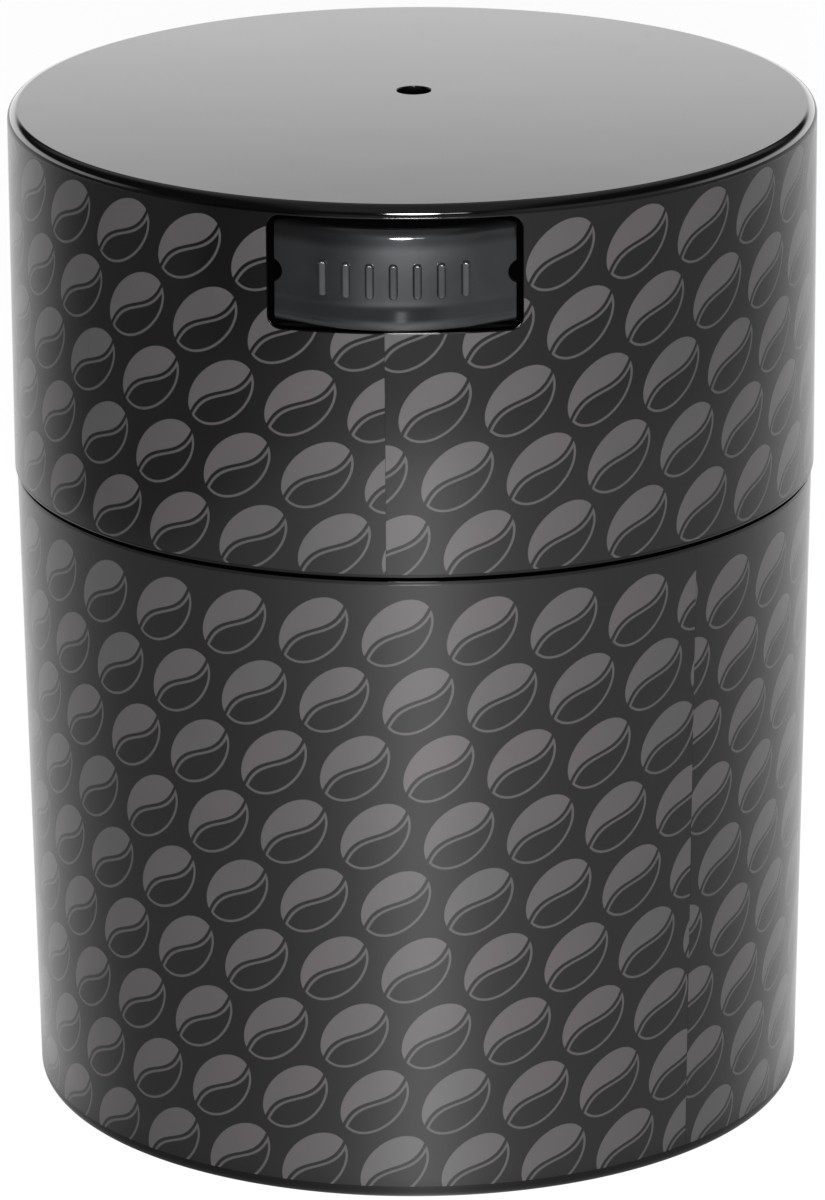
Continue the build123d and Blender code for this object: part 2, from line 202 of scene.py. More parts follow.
# %% [markdown]
# A black gloss object mirrors its surroundings. In the picture the canister stands on white
# paper. Each spot on its side mirrors the paper along one line, which leads away from the
# wall, so a streak that runs from top to bottom is a bright fan of paper that spreads out in
# front. A foot and a half away the paper ends and the room is dim.
#
# Light Path tells us which kind of ray asks: the camera sees white paper with a faint shadow,
# a reflection sees the fan and the paper around it, and diffuse rays see plain matt paper. So
# the fan lights nothing but the gloss.
#
# Which part of the wall mirrors a spot of paper? If the spot's direction from the middle is
# `around` and its distance is `reach`, the wall's own direction `turn` solves
# sin(2 * turn - around) = radius / reach * sin(turn). Five rounds of it are close enough.

# %% How bright the paper is
WHITE = (1, 1, 1, 1)
middle_azimuth = radians(2.6)
paper_size = 12.0
paper_white = 0.84
paper_lift = 0.8

# How bright the paper looks from the left and the right of the wall, nearby and far away, and
# how bright it is beside the canister, nearby and far away
NEAR_PAPER = (0.24, 0.37)
FAR_PAPER = (0.085, 0.265)
LEFT_PAPER = (0.46, 0.62)
RIGHT_PAPER = (0.32, 0.40)

# %% Shaders that answer the camera and reflections apart
def is_seen(tree, *kinds):
    path = add_node(tree, "LightPath")
    total = Term(path.outputs[kinds[0]])
    for kind in kinds[1:]:
        total = calc("MAXIMUM", total, Term(path.outputs[kind]))
    return total


def emission(tree, strength):
    return Term(add_node(tree, "Emission", Color=WHITE, Strength=strength).outputs[0])


def pick_shader(share, first, second):
    return feed_in_order(add_node(share.tree, "MixShader"), share, first, second)

# %% What the walls mirror of the paper
def wall_turn(x, y, reach):
    """The wall's direction, from the middle line, that mirrors a spot. Left is negative."""
    around = calc("ARCTAN2", x, y * -1.0) - middle_azimuth
    ratio = calc("MINIMUM", cap_radius / reach, 1.0)
    turn = around * 0.5
    for _ in range(5):
        turn = (around + calc("ARCSINE", ratio * calc("SINE", turn))) * 0.5
    return turn


def streak(turn, height, half_width):
    """A soft streak down the middle, that falls to half at half_width."""
    away = (turn - radians(0.9)) / half_width
    return height / (away * away + 1.0)


def paper_glow(tree):
    """How bright the paper looks in a reflection, by its place on the floor."""
    x, y, _ = split_place(tree, "Object")
    reach = calc("SQRT", x * x + y * y)
    turn = wall_turn(x, y, reach)

    # From the near paper to the dim far end. The edge between them lies further out on the right.
    right = soft_step(turn, radians(-34), radians(5))
    inner = soft_step(turn, radians(-46), radians(-10))
    away = soft_step(reach, blend_value(inner, 0.335, 0.408), blend_value(inner, 0.365, 0.475))
    near = blend_value(right, *NEAR_PAPER) + streak(turn, 1.20, radians(7.5))
    far = blend_value(right, *FAR_PAPER) + streak(turn, 0.05, radians(19))

    # A dark patch at the far end, left of the middle
    beside = soft_step(calc("ABSOLUTE", turn + radians(23)), radians(13), radians(5))
    far = far * (1.0 - beside * soft_step(reach, 0.485, 0.535))
    front = blend_value(away, near, far)

    # The paper beside and behind the canister, which its two outlines mirror
    edge_start = blend_value(away, radians(45), radians(51))
    edge = soft_step(calc("ABSOLUTE", turn), edge_start, radians(78))
    left_glow, right_glow = blend_value(away, *LEFT_PAPER), blend_value(away, *RIGHT_PAPER)
    behind = edge * blend_value(right, left_glow, right_glow)

    # The canister's own shade where it stands
    contact = blend_value(soft_step(reach, 0.056, 0.068), 0.6, 1.0)
    return (front + behind) * contact


# %% Floor
bpy.ops.object.select_all(action="DESELECT")
bpy.ops.mesh.primitive_plane_add(size=paper_size)
floor = bpy.context.object
floor.name = "studio_floor"
paper = bpy.data.materials.new("studio_paper")
paper.use_nodes = True
tree = paper.node_tree
matt = tree.nodes["Principled BSDF"]
paper_color = (paper_white, paper_white, paper_white, 1)
feed_named(matt, Base_Color=paper_color, Roughness=0.9, Specular_IOR_Level=0.0)
plain = Term(matt.outputs[0])
lit = feed_in_order(add_node(tree, "AddShader"), plain, emission(tree, paper_lift))
seen = pick_shader(is_seen(tree, "Is Camera Ray"), plain, lit)
mirrored = is_seen(tree, "Is Glossy Ray", "Is Transmission Ray")
seen = pick_shader(mirrored, seen, emission(tree, paper_glow(tree)))
feed_named(tree.nodes["Material Output"], Surface=seen)
floor.data.materials.append(paper)
floor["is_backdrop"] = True
print("paper nodes:", len(tree.nodes))

# %% [markdown]
# The world does the same above the floor. The camera sees white. A reflection sees a bright
# backdrop low behind the canister, which fades upwards from about thirteen degrees, and a
# dark room with a dim ceiling and a dim wall to the right. The flat top mirrors just that
# fade, and the cap's rounded top edge mirrors the dark above it, as a black band. Diffuse
# rays get a weak, even fill.

# %% World
room_dark = 0.03
backdrop_bright = 2.05
ceiling_bright = 0.28
side_bright = 0.42
fill = 0.14

world = bpy.data.worlds.new("studio")
scene.world = world
world.use_nodes = True
tree = world.node_tree
across, toward, height = split_place(tree, "Generated")
low = soft_step(height, sin(radians(18.0)), sin(radians(12.5)))
backdrop = soft_step(toward, -0.30, 0.30)
narrow = soft_step(calc("ABSOLUTE", across), 0.60, 0.25)
high = soft_step(height, sin(radians(21)), sin(radians(32)))
to_right = soft_step(across, 0.30, 0.62) * soft_step(height, 0.45, 0.15)
room = blend_value(low * backdrop, room_dark, backdrop_bright)
room = room + narrow * high * ceiling_bright + to_right * side_bright
lit = blend_value(is_seen(tree, "Is Glossy Ray", "Is Transmission Ray"), fill, room)
strength = blend_value(is_seen(tree, "Is Camera Ray"), lit, 1.0)
feed_named(tree.nodes["Background"], Color=WHITE, Strength=strength)
print("world nodes:", len(tree.nodes))

# %% [markdown]
# Two lamps do the rest. The round key lamp stands behind the camera, so its shadow falls
# behind the canister, and leaves a bright spot with pointed ends on the cap's rounded edge
# and on the button. A weaker lamp to its right leaves the fainter streak beside it.

# %% Lamps
lamp_distance = 1.8


def soft_lamp(name, azimuth, elevation, width, radiance):
    """A round lamp that faces the canister. Azimuth 0 is the button's side, as for the camera."""
    data = bpy.data.lights.new(name, "AREA")
    data.shape = "DISK"
    data.size = width
    data.energy = radiance * pi * pi * (width / 2) ** 2
    lamp = bpy.data.objects.new(name, data)
    scene.collection.objects.link(lamp)
    flat = cos(elevation)
    place = lamp_distance * Vector((sin(azimuth) * flat, -cos(azimuth) * flat, sin(elevation)))
    lamp.location = Vector((0, 0, cap_top / 2)) + place
    lamp.rotation_mode = "QUATERNION"
    lamp.rotation_quaternion = place.to_track_quat("Z", "Y")
    lamp.visible_camera = False
    print(f"{name}: {data.energy:.1f} W")


soft_lamp("key_lamp", middle_azimuth, radians(15), width=0.46, radiance=52.0)
soft_lamp("side_lamp", radians(14), radians(15.5), width=0.24, radiance=9.0)

# %% [markdown]
# Most of this object is round, so most pieces are a section turned about the upright axis.
# We draw the section as one would by hand: a plane is merged to a single point, the point is
# extruded from corner to corner, and F closes it to a face. Corners are rounded while the
# section is still flat, where a bevel on one vertex is a clean arc.

# %% Modelling helpers: selecting
def deselect_all():
    bpy.ops.object.select_all(action="DESELECT")


def alone(obj):
    deselect_all()
    obj.select_set(True)
    bpy.context.view_layer.objects.active = obj


def edit(obj):
    alone(obj)
    bpy.ops.object.mode_set(mode="EDIT")


def leave():
    bpy.ops.object.mode_set(mode="OBJECT")


def select_all():
    bpy.ops.mesh.select_all(action="SELECT")


def bevel_edges(amount, steps):
    bpy.ops.mesh.bevel(offset=amount, segments=steps, affect="EDGES")


def pick(obj, kind, test):
    """In edit mode, selects the vertices, edges or faces that pass a test, and counts them."""
    bpy.ops.mesh.select_mode(type=kind)
    bpy.ops.mesh.select_all(action="DESELECT")
    mesh = bmesh.from_edit_mesh(obj.data)
    parts = {"VERT": mesh.verts, "EDGE": mesh.edges, "FACE": mesh.faces}[kind]
    count = 0
    for part in parts:
        if test(part):
            part.select = True
            count += 1
    mesh.select_flush_mode()
    bmesh.update_edit_mesh(obj.data)
    return count

# %% Modelling helpers: turned sections
SEGMENTS = 288


def spot(radius, height, angle=0.0):
    return Vector((radius * cos(angle), radius * sin(angle), height))


def draw_section(name, corners, angle=0.0):
    """A closed face through (radius, height) corners, upright, at an angle about Z."""
    deselect_all()
    bpy.ops.mesh.primitive_plane_add(size=MM)
    obj = bpy.context.object
    obj.name = name
    obj.data.name = name
    bpy.ops.object.mode_set(mode="EDIT")
    bpy.ops.mesh.select_mode(type="VERT")
    bpy.ops.mesh.merge(type="CENTER")
    places = [spot(radius, height, angle) for radius, height in corners]
    bpy.ops.transform.translate(value=places[0])
    for here, there in zip(places, places[1:]):
        bpy.ops.mesh.extrude_region_move(TRANSFORM_OT_translate={"value": there - here})
    select_all()
    bpy.ops.mesh.edge_face_add()
    return obj


def round_corner(obj, radius, height, amount, steps, angle=0.0):
    place = spot(radius, height, angle)
    found = pick(obj, "VERT", lambda vertex: (vertex.co - place).length < TINY)
    if found != 1:
        raise ValueError(f"{obj.name}: {found} corners at {radius / MM:.2f}, {height / MM:.2f}")
    bpy.ops.mesh.bevel(offset=amount, segments=steps, affect="VERTICES")


def spin(angle):
    bpy.ops.mesh.spin(steps=SEGMENTS, angle=angle, center=(0, 0, 0), axis=(0, 0, 1))


def tidy_mesh():
    """Merges doubles, closes what is open and turns all faces outwards."""
    bpy.ops.mesh.select_mode(type="VERT")
    select_all()
    bpy.ops.mesh.remove_doubles(threshold=TINY / 4)
    select_all()
    bpy.ops.mesh.fill_holes(sides=0)
    select_all()
    bpy.ops.mesh.normals_make_consistent(inside=False)


def turn_section(obj):
    """Turns the section a full turn. Its outline is enough: the face goes, and so does what
    lies on the axis, and the round holes left there are closed as flat discs."""
    select_all()
    bpy.ops.mesh.delete(type="ONLY_FACE")
    pick(obj, "VERT", lambda vertex: vertex.co.xy.length < TINY)
    bpy.ops.mesh.delete(type="VERT")
    select_all()
    spin(2 * pi)
    tidy_mesh()
    leave()

# %% Modelling helpers: blocks, rods and booleans
def apply_modifier(obj, kind, **settings):
    alone(obj)
    modifier = obj.modifiers.new("change", kind)
    for label, value in settings.items():
        setattr(modifier, label, value)
    bpy.ops.object.modifier_apply(modifier=modifier.name)


def combine(obj, tool, operation):
    """Joins, cuts or keeps the tool's space with an exact boolean. The tool is used up."""
    apply_modifier(obj, "BOOLEAN", operation=operation, solver="EXACT", object=tool)
    bpy.data.objects.remove(tool)


def block(name, low, high):
    """A box from corner to corner."""
    low, high = Vector(low), Vector(high)
    deselect_all()
    bpy.ops.mesh.primitive_cube_add(size=1)
    obj = bpy.context.object
    obj.name = name
    bpy.ops.object.mode_set(mode="EDIT")
    bpy.ops.transform.resize(value=high - low)
    bpy.ops.transform.translate(value=(high + low) / 2)
    leave()
    return obj


def even_block(name, half, low, high):
    """A block as wide to the left as to the right, between two (y, z) corners."""
    return block(name, (-half, *low), (half, *high))


def rod(name, radius, start, end, sides=64):
    """A cylinder from one point to another."""
    start, end = Vector(start), Vector(end)
    deselect_all()
    bpy.ops.mesh.primitive_cylinder_add(vertices=sides, radius=radius, depth=(end - start).length)
    obj = bpy.context.object
    obj.name = name
    obj.rotation_mode = "QUATERNION"
    obj.rotation_quaternion = (end - start).to_track_quat("Z", "Y")
    obj.location = (start + end) / 2
    bpy.ops.object.transform_apply()
    return obj


def upright_rod(name, radius, y, bottom, top, sides=64):
    """A rod along Z, on the middle line."""
    return rod(name, radius, (0, y, bottom), (0, y, top), sides)

# %% Modelling helpers: placing and copying
def move_to(obj, place):
    """Moves an object and applies it, so that the finished piece stays at the origin."""
    alone(obj)
    obj.location = place
    bpy.ops.object.transform_apply()


def turned(obj, angle):
    """Turns a tool about Z. Without a window the operator turns the other way."""
    alone(obj)
    bpy.ops.transform.rotate(value=-angle, orient_axis="Z", center_override=(0, 0, 0))
    bpy.ops.object.transform_apply()
    return obj


def copy_of(obj):
    alone(obj)
    bpy.ops.object.duplicate()
    return bpy.context.object


def join(obj, *others):
    alone(obj)
    for other in others:
        other.select_set(True)
    bpy.ops.object.join()


def copies_round(obj, count, step):
    """Copies an object about Z, each with its own mesh, and joins them all."""
    join(obj, *[turned(copy_of(obj), step * place) for place in range(1, count)])
    return obj

# %% Modelling helpers: finishing
def smooth(obj, angle):
    """Smooth shading. Large faces decide the normals, so they stay flat beside a round."""
    alone(obj)
    bpy.ops.object.shade_smooth_by_angle(angle=angle)
    apply_modifier(obj, "WEIGHTED_NORMAL", keep_sharp=True)


def report(obj):
    """Prints what was made: its triangles, its box and whether it is closed."""
    mesh = bmesh.new()
    mesh.from_mesh(obj.data)
    open_edges = sum(not edge.is_manifold for edge in mesh.edges)
    volume = mesh.calc_volume(signed=True) * 1e9
    triangles = sum(len(face.verts) - 2 for face in mesh.faces)
    mesh.free()
    size = [round(value / MM, 1) for value in obj.dimensions]
    print(f"{obj.name}: {triangles} triangles, {open_edges} open edges, {volume:.0f} mm3, {size} mm")


def finish(obj, angle=radians(32)):
    smooth(obj, angle)
    report(obj)

# %% [markdown]
# The tub's section has a rounded foot, a shallow bed for the film, the shoulder that the
# cap's rim almost touches, the straight neck inside the cap and the bore. Underneath is a
# shallow ring groove. The side leans out by one degree, so that the tub leaves its mould.

# %% Cup
cup_draft = radians(1.02)
bore_draft = radians(0.7)
rim_gap = 0.6 * MM
shoulder_step = 0.35 * MM
neck_wall = 2.0 * MM
neck_play = 2.2 * MM
cup_floor = 3.0 * MM
film_bed = 0.25 * MM
groove_radius = 47.0 * MM
groove_width = 3.0 * MM
groove_depth = 0.6 * MM
cup_foot_round = 2.0 * MM
cup_floor_round = 4.0 * MM
neck_edge = 0.6 * MM

shoulder = cap_rim - rim_gap
shoulder_radius = cap_radius - shoulder_step
neck_radius = cap_radius - neck_play
neck_bore = neck_radius - neck_wall
film_foot = cup_film_low.z - MM
film_shoulder = cup_film_high.z


def cup_radius(height):
    return shoulder_radius - (shoulder - height) * tan(cup_draft)


def bore_radius(height):
    return neck_bore - (neck_top - height) * tan(bore_draft)


cup = draw_section("canister_cup", [
    (0, 0),
    (groove_radius - groove_width / 2, 0),
    (groove_radius - groove_width / 2, groove_depth),
    (groove_radius + groove_width / 2, groove_depth),
    (groove_radius + groove_width / 2, 0),
    (cup_radius(0), 0),
    (cup_radius(film_foot), film_foot),
    (cup_radius(film_foot) - film_bed, film_foot),
    (cup_radius(film_shoulder) - film_bed, film_shoulder),
    (cup_radius(film_shoulder), film_shoulder),
    (shoulder_radius, shoulder),
    (neck_radius, shoulder),
    (neck_radius, neck_top),
    (neck_bore, neck_top),
    (bore_radius(cup_floor), cup_floor),
    (0, cup_floor),
])
for corner in (
    (cup_radius(0), 0, cup_foot_round, 10),
    (shoulder_radius, shoulder, 0.07 * MM, 3),
    (neck_radius, shoulder, 0.4 * MM, 4),
    (neck_radius, neck_top, neck_edge, 4),
    (neck_bore, neck_top, neck_edge, 4),
    (bore_radius(cup_floor), cup_floor, cup_floor_round, 10),
):
    round_corner(cup, *corner)
turn_section(cup)
finish(cup)

# %% [markdown]
# The printed film is a thin strip with one butt seam, where its two ends almost meet. So its
# section keeps its face and is turned by almost a full turn, and both ends come out closed.
# The seam is right of the button on the tub and just left of the middle on the cap.

# %% Film round the cup
film_thickness = 0.15 * MM
seam_gap = 0.04 * MM
cup_seam = radians(-44.2)
cap_seam = radians(-91.4)
film_round = 0.04 * MM


def wrap_film(name, foot, head, foot_radius, head_radius, seam):
    start = seam + seam_gap / 2 / cap_radius
    sweep = 2 * pi - seam_gap / cap_radius
    film = draw_section(name, [
        (foot_radius - film_thickness, foot),
        (foot_radius, foot),
        (head_radius, head),
        (head_radius - film_thickness, head),
    ], start)
    for radius, height in ((foot_radius, foot), (head_radius, head)):
        round_corner(film, radius, height, film_round, 2, start)
    bpy.ops.mesh.select_mode(type="FACE")
    select_all()
    spin(sweep)
    tidy_mesh()
    leave()
    return film


cup_film = wrap_film(
    "cup_film", film_foot, film_shoulder, cup_radius(film_foot), cup_radius(film_shoulder), cup_seam
)
finish(cup_film)

# %% [markdown]
# The cap is a tall shell with a small vent in its flat top. Inside are seven ribs and seven
# beads that hold the inner lid, modelled once and copied round, and a split boss for the
# valve's spring. The window is cut with a block whose edges along Y are rounded first, and
# its edge is then bevelled, because no moulded edge is sharp and a gloss edge shows it.

# %% Cap shell
cap_wall = 1.8 * MM
cap_top_wall = 1.8 * MM
cap_edge_round = 1.5 * MM
cap_rim_round = 0.3 * MM
ceiling = cap_top - cap_top_wall
cap_bore = cap_radius - cap_wall
film_rim = cap_film_low.z
film_top = cap_film_high.z
vent_radius = 2.6 * MM
valve_y = 6.3 * MM
window_width = 36.4 * MM
window_height = 16.7 * MM
window_drop = 2.0 * MM
window_round = 1.8 * MM
window_top = cap_top - window_drop
window_bottom = window_top - window_height
window_middle = window_top - window_height / 2


def window_tool(margin):
    """A block through the front wall with the window's outline, larger by a margin."""
    half = window_width / 2 + margin
    low = (-cap_radius * 1.1, window_bottom - margin)
    tool = even_block("window_tool", half, low, (-cap_radius * 0.5, window_top + margin))
    edit(tool)

    def lies_along_y(edge):
        return abs(edge.verts[0].co.y - edge.verts[1].co.y) > window_round

    pick(tool, "EDGE", lies_along_y)
    bevel_edges(window_round + margin, 8)
    leave()
    return tool


cap = draw_section("cap_outer", [
    (0, ceiling),
    (cap_bore, ceiling),
    (cap_bore, cap_rim),
    (cap_radius, cap_rim),
    (cap_radius, film_rim),
    (cap_radius - film_bed, film_rim),
    (cap_radius - film_bed, film_top),
    (cap_radius, film_top),
    (cap_radius, cap_top),
    (0, cap_top),
])
for corner in (
    (cap_radius, cap_top, cap_edge_round, 8),
    (cap_bore, ceiling, 0.8 * MM, 4),
    (cap_bore, cap_rim, cap_rim_round, 3),
    (cap_radius, cap_rim, cap_rim_round, 3),
):
    round_corner(cap, *corner)
turn_section(cap)
report(cap)

# %% Ribs, beads and the valve boss inside the cap
disc_top = 132.3 * MM
disc_bottom = 130.3 * MM
rib_count = 7
rib_start = radians(-45)
rib_step = radians(270) / (rib_count - 1)
wall_middle = cap_radius - cap_wall / 2
into_top = ceiling + 0.5 * MM
through_top = ceiling + 1.0 * MM
rib_depth = 4.6 * MM
rib_half = 0.9 * MM
bead_reach = 0.9 * MM
bead_half = 4.5 * MM
boss_height = 2.6 * MM
boss_outer = 5.0 * MM
boss_inner = 3.8 * MM
boss_slot = 1.6 * MM
boss_deep = ceiling - 4 * MM

rib = block(
    "rib",
    (cap_bore - rib_depth, -rib_half, disc_top + 0.2 * MM),
    (wall_middle, rib_half, into_top),
)
bead = block(
    "bead",
    (cap_bore - bead_reach, -bead_half, disc_bottom - 1.3 * MM),
    (wall_middle, bead_half, disc_bottom - 0.1 * MM),
)
for stop in (rib, bead):
    combine(cap, copies_round(turned(stop, rib_start), rib_count, rib_step), "UNION")
boss = upright_rod("boss", boss_outer, valve_y, ceiling - boss_height, into_top)
bore = upright_rod("boss_bore", boss_inner, valve_y, boss_deep, through_top)
slot_low = (valve_y - boss_slot / 2, boss_deep)
slot = even_block("boss_slot", 6 * MM, slot_low, (valve_y + boss_slot / 2, through_top))
combine(boss, bore, "DIFFERENCE")
combine(boss, slot, "DIFFERENCE")
combine(cap, boss, "UNION")
vent = upright_rod("vent_tool", vent_radius, valve_y, ceiling - MM, cap_top + MM, 96)
combine(cap, vent, "DIFFERENCE")
combine(cap, window_tool(0.0), "DIFFERENCE")

# %% Soft edges round the vent and the window
vent_axis = Vector((0, valve_y))
vent_round = 0.14 * MM
window_edge_round = 0.08 * MM


def on_vent_edge(edge):
    return all(
        abs(vertex.co.z - cap_top) < TINY
        and abs((vertex.co.xy - vent_axis).length - vent_radius) < 0.02 * MM
        for vertex in edge.verts
    )


def on_window_edge(edge):
    outer = cap_radius - film_bed - 0.02 * MM
    return edge.calc_face_angle(0) > radians(40) and all(
        vertex.co.xy.length > outer
        and vertex.co.y < 0
        and abs(vertex.co.x) < window_width / 2 + 0.1 * MM
        and window_bottom - 0.1 * MM < vertex.co.z < window_top + 0.1 * MM
        for vertex in edge.verts
    )


edit(cap)
print("vent edges:", pick(cap, "EDGE", on_vent_edge))
bevel_edges(vent_round, 3)
print("window edges:", pick(cap, "EDGE", on_window_edge))
bevel_edges(window_edge_round, 2)
leave()
finish(cap)

# %% [markdown]
# The cap's film is a straight strip with its own seam, cut out round the window with a small
# margin, so that a narrow frame of bare gloss shell shows there.

# %% Film round the cap
film_window_margin = 0.15 * MM
cap_film = wrap_film("cap_film", film_rim, film_top, cap_radius, cap_radius, cap_seam)
combine(cap_film, window_tool(film_window_margin), "DIFFERENCE")
finish(cap_film)

# %% [markdown]
# The button's front is bowed: seen from above it is an arc. It starts as a cylinder as
# tall as the button, and bisect cuts away what lies behind and beside. Then bisect cuts level
# lines across it, and each line is moved a little: the upper half leans back and catches more
# of the key lamp, and the foot flares out to a small ledge, whose slope mirrors the dark
# room. Near its two ends the bow flattens, so upright lines are moved forward there. The
# raised bars in the middle give a fingertip its hold.

# %% Push button: sizes
button_gap = 1.0 * MM
button_proud = 2.7 * MM
button_bow = 7.1 * MM
button_wall = 2.0 * MM
button_half = window_width / 2 - button_gap
button_bottom = window_bottom + button_gap
button_top = window_top - button_gap
face_radius = (button_half**2 + button_bow**2) / (2 * button_bow)
face_front = -cap_radius - button_proud
face_axis = face_front + face_radius
flange_half = button_half + 3.3 * MM
flange_front = 0.2 * MM - sqrt(cap_bore**2 - flange_half**2)
flange_back = flange_front + 1.6 * MM
face_lean = 0.8 * MM
foot_flare = 0.72 * MM
foot_round = 1.4 * MM
top_round = 1.2 * MM
flare_height = 3.9 * MM
end_start = 13.0 * MM
end_flat = 0.95 * MM

# %% Push button: from a cylinder to a bowed block
def cut_away(obj, place, outward):
    """Bisects the edited mesh at a point and clears what lies on the outward side."""
    select_all()
    bpy.ops.mesh.bisect(plane_co=place, plane_no=outward, use_fill=True, clear_outer=True)


def bowed_block(name, radius, half_width, bottom, top, back):
    """A block with a bowed front, cut from an upright cylinder."""
    obj = upright_rod(name, radius, face_axis, bottom, top, 256)
    edit(obj)
    cut_away(obj, (0, back, 0), (0, 1, 0))
    cut_away(obj, (half_width, 0, 0), (1, 0, 0))
    cut_away(obj, (-half_width, 0, 0), (-1, 0, 0))
    return obj


button = bowed_block("valve_button", face_radius, button_half, button_bottom, button_top, flange_back)

# %% Push button: the leaning face and its edges
lean_from = window_middle - 0.5 * MM
flare_from = button_bottom + flare_height


def face_offset(height):
    """How far the face stands back at a height. Forward is negative."""
    lean = max(0.0, (height - lean_from) / (button_top - lean_from))
    flare = max(0.0, (flare_from - height) / flare_height)
    return face_lean * lean**2 - foot_flare * flare


def move_front(distance, test):
    """Moves the points of the button's front that pass the test, along Y."""
    pick(button, "VERT", lambda vertex: vertex.co.y < flange_front and test(vertex.co))
    bpy.ops.transform.translate(value=(0, distance, 0))


rings = 20
lowest = button_bottom + foot_round * 1.1
highest = button_top - top_round * 1.1
for ring in range(rings):
    height = lowest + (highest - lowest) * ring / (rings - 1)
    select_all()
    bpy.ops.mesh.bisect(plane_co=(0, 0, height), plane_no=(0, 0, 1))
mesh = bmesh.from_edit_mesh(button.data)
levels = sorted({round(vertex.co.z, 6) for vertex in mesh.verts})
print("levels on the face:", len(levels))
for level in levels:
    move_front(face_offset(level), lambda point: abs(point.z - level) < TINY)

columns = sorted({round(abs(vertex.co.x), 6) for vertex in mesh.verts if abs(vertex.co.x) > end_start})
print("columns at each end:", len(columns))
for column in columns:
    forward = end_flat * ((column - end_start) / (button_half - end_start)) ** 2
    move_front(-forward, lambda point: abs(abs(point.x) - column) < TINY)


def front_edge_at(height):
    def test(edge):
        flat = all(abs(vertex.co.z - height) < TINY for vertex in edge.verts)
        across = abs(edge.verts[0].co.x - edge.verts[1].co.x) > TINY
        return flat and across and all(vertex.co.y < flange_front for vertex in edge.verts)
    return test


print("top edge:", pick(button, "EDGE", front_edge_at(button_top)))
bevel_edges(top_round, 8)
print("foot edge:", pick(button, "EDGE", front_edge_at(button_bottom)))
bevel_edges(foot_round, 8)
leave()
report(button)

# %% Push button: grip bars
bar_count = 7
bar_pitch = 3.4 * MM
bar_width = 1.3 * MM
bar_length = 5.2 * MM
bar_height = 0.5 * MM
bar_root = 2.2 * MM
bar_end_round = 0.88 * bar_width / 2
bar_top_round = 0.34 * MM
bar_dish = 0.1 * MM

for place in range(bar_count):
    x = (place - (bar_count - 1) / 2) * bar_pitch
    across = bar_width / 2
    near = face_axis - sqrt((face_radius + bar_height) ** 2 - x**2)
    half = bar_length / 2
    bar = block(
        "grip_bar",
        (x - across, near, window_middle - half),
        (x + across, near + bar_root, window_middle + half),
    )
    edit(bar)
    pick(bar, "EDGE", lambda edge: abs(edge.verts[0].co.y - edge.verts[1].co.y) > MM)
    bevel_edges(bar_end_round, 6)
    pick(bar, "EDGE", lambda edge: all(abs(vertex.co.y - near) < TINY for vertex in edge.verts))
    bevel_edges(bar_top_round, 4)
    pick(bar, "FACE", lambda face: face.normal.y < -0.999)
    bpy.ops.mesh.inset(thickness=bar_dish)
    leave()
    combine(button, bar, "UNION")
report(button)

# %% [markdown]
# Each end gets a half-round notch, which stops at the flange. Behind the front come the stop
# flange that keeps the button in the window, the hollow behind its face, the bosses and pins
# for its two springs, and the forked tongue whose two ramps lift the valve.

# %% Push button: what stands behind the front
notch_radius = 1.8 * MM
notch_depth = 1.1 * MM
spring_radius = 2.65 * MM
spring_x = button_half - button_wall - spring_radius
boss_radius = 3.4 * MM
pin_radius = 1.9 * MM
pin_length = 2.0 * MM
tongue_half = 7.0 * MM
tongue_root = face_axis - sqrt((face_radius - button_wall / 4) ** 2 - tongue_half**2)
tongue_bottom = 137.6 * MM
tongue_top = 139.6 * MM
tongue_end = valve_y + 6.5 * MM
ramp_half = 5.0 * MM
slot_half = 2.4 * MM
slot_start = valve_y - 3.6 * MM
skim = 0.02 * MM


def rod_inwards(name, radius, x, front, back):
    """A rod along Y, at the height of the window's middle."""
    return rod(name, radius, (x, front, window_middle), (x, back, window_middle))


flange_low = (flange_front, button_bottom - 1.1 * MM)
combine(button, even_block("flange", flange_half, flange_low, (flange_back, button_top)), "UNION")
for side in (-1, 1):
    x = side * (button_half + notch_radius - notch_depth)
    notch = rod_inwards("notch", notch_radius, x, face_front - MM, flange_front + skim)
    combine(button, notch, "DIFFERENCE")
hollow = bowed_block(
    "hollow",
    face_radius - button_wall,
    button_half - button_wall,
    button_bottom + button_wall,
    button_top - button_wall,
    flange_back + MM,
)
leave()
combine(button, hollow, "DIFFERENCE")
for side in (-1, 1):
    x = side * spring_x
    post = rod_inwards("spring_boss", boss_radius, x, face_front, flange_back)
    pin = rod_inwards("spring_pin", pin_radius, x, flange_back - MM, flange_back + pin_length)
    core = bowed_block(
        "core", face_radius - button_wall / 2, button_half, button_bottom, button_top, flange_back + MM
    )
    leave()
    combine(post, core, "INTERSECT")
    combine(button, post, "UNION")
    combine(button, pin, "UNION")
tongue = even_block("tongue", tongue_half, (tongue_root, tongue_bottom), (tongue_end, tongue_top))
web_low = (tongue_root, button_bottom + button_wall / 2)
web = even_block("tongue_web", tongue_half, web_low, (flange_back - skim, tongue_top - skim))
ramp_low = (valve_y - ramp_half, tongue_top - MM)
ramp = even_block("ramp", tongue_half - MM, ramp_low, (valve_y + ramp_half, tongue_top + ramp_half))
edit(ramp)
cut_away(ramp, (0, valve_y + ramp_half, tongue_top), (0, 0.5, 1))
leave()
combine(tongue, ramp, "UNION")
fork_low, fork_high = tongue_bottom - MM, tongue_top + 2 * ramp_half
fork = even_block("fork_slot", slot_half, (slot_start, fork_low), (tongue_end + MM, fork_high))
combine(fork, upright_rod("fork_end", slot_half, slot_start, fork_low, fork_high), "UNION")
combine(tongue, fork, "DIFFERENCE")
combine(tongue, web, "UNION")
combine(button, tongue, "UNION")
finish(button, radians(35))
